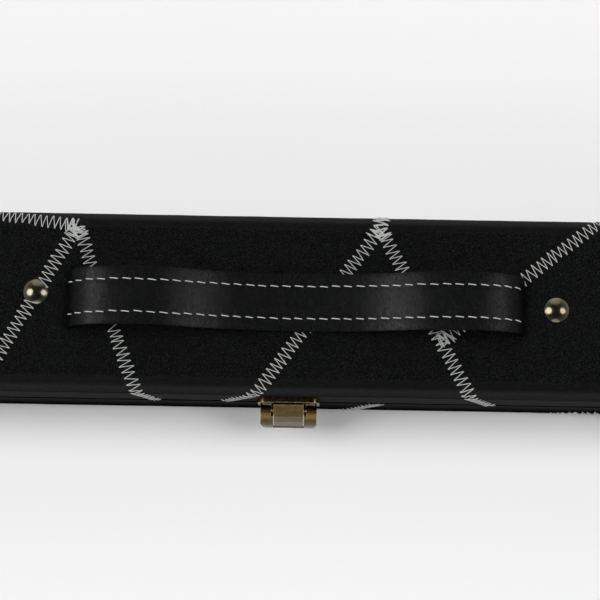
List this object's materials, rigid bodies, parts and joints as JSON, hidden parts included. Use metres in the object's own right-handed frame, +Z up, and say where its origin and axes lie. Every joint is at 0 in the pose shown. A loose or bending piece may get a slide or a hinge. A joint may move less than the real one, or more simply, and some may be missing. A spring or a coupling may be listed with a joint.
{
  "type": "cue case",
  "caption": "Long hinged cue case in stitched black leatherette with moulded end caps, a strap handle, brass toggle latches and a padded velvet interior.",
  "frame": {"origin": "centre of the base shell's underside, halfway along the case", "axes": "+X along the case, -Y the side with the latches, +Y the hinged side, +Z up through the lid"},
  "size_m": [1.225, 0.1126, 0.0795],
  "materials": {
    "leatherette": "near-black pebble-grained leatherette, satin",
    "strap_leather": "smooth soft-grained black leather, satin",
    "moulded_cap": "smooth black moulded plastic, semi-gloss",
    "plywood": "bare birch plywood",
    "velvet": "short burgundy velvet pile",
    "pad_velvet": "burgundy velvet over foam",
    "antique_brass": "antique brass, brushed, gold where worn",
    "stud_brass": "dark antique nickel brass, polished dome",
    "pin_steel": "plated steel pin"
  },
  "bodies": {
    "base": {"base_panel": "plywood", "base_front_rail": "plywood", "base_back_rail": "plywood", "base_end_boards": "plywood", "base_cover": "leatherette", "base_lining": "velvet", "cue_cradles": "pad_velvet", "base_end_cap_left": "moulded_cap", "base_end_cap_right": "moulded_cap", "base_cap_rivets": "stud_brass", "latch_plates": "antique_brass", "latch_plate_rivets": "antique_brass", "latch_pivot_pins": "pin_steel", "hinge_base_leaves": "antique_brass", "hinge_pins": "pin_steel", "hinge_base_screws": "antique_brass"},
    "lid": {"lid_panel": "plywood", "lid_front_rail": "plywood", "lid_back_rail": "plywood", "lid_end_boards": "plywood", "lid_cover": "leatherette", "lid_lining": "velvet", "lid_pad": "pad_velvet", "lid_end_cap_left": "moulded_cap", "lid_end_cap_right": "moulded_cap", "lid_cap_rivets": "stud_brass", "handle_strap": "strap_leather", "handle_studs": "stud_brass", "handle_washers": "pin_steel", "strike_plates": "antique_brass", "strike_rivets": "antique_brass", "hinge_lid_leaves": "antique_brass", "hinge_lid_screws": "antique_brass"},
    "left_lever": {"left_latch_lever": "antique_brass", "left_claw_pin": "pin_steel"},
    "left_claw": {"left_latch_claw": "antique_brass"},
    "centre_lever": {"centre_latch_lever": "antique_brass", "centre_claw_pin": "pin_steel"},
    "centre_claw": {"centre_latch_claw": "antique_brass"},
    "right_lever": {"right_latch_lever": "antique_brass", "right_claw_pin": "pin_steel"},
    "right_claw": {"right_latch_claw": "antique_brass"}
  },
  "joints": [
    {"name": "lid_hinge", "type": "hinge", "parent": "base", "child": "lid", "pos_m": [0, 0.0507, 0.032], "axis": [-1, 0, 0], "range_deg": [0, 165]},
    {"name": "left_lever_pivot", "type": "hinge", "parent": "base", "child": "left_lever", "pos_m": [-0.473, -0.0511, 0.029], "axis": [-1, 0, 0], "range_deg": [0, 85]},
    {"name": "left_claw_pivot", "type": "hinge", "parent": "left_lever", "child": "left_claw", "pos_m": [-0.473, -0.05252, 0.02369], "axis": [-1, 0, 0], "range_deg": [-94, 0]},
    {"name": "centre_lever_pivot", "type": "hinge", "parent": "base", "child": "centre_lever", "pos_m": [-0.003, -0.0511, 0.029], "axis": [-1, 0, 0], "range_deg": [0, 85]},
    {"name": "centre_claw_pivot", "type": "hinge", "parent": "centre_lever", "child": "centre_claw", "pos_m": [-0.003, -0.05252, 0.02369], "axis": [-1, 0, 0], "range_deg": [-94, 0]},
    {"name": "right_lever_pivot", "type": "hinge", "parent": "base", "child": "right_lever", "pos_m": [0.473, -0.0511, 0.029], "axis": [-1, 0, 0], "range_deg": [0, 85]},
    {"name": "right_claw_pivot", "type": "hinge", "parent": "right_lever", "child": "right_claw", "pos_m": [0.473, -0.05252, 0.02369], "axis": [-1, 0, 0], "range_deg": [-94, 0]}
  ],
  "couplings": [
    {"joint": "left_claw_pivot", "follows": "left_lever_pivot", "ratio": -1.1},
    {"joint": "centre_claw_pivot", "follows": "centre_lever_pivot", "ratio": -1.1},
    {"joint": "right_claw_pivot", "follows": "right_lever_pivot", "ratio": -1.1}
  ]
}
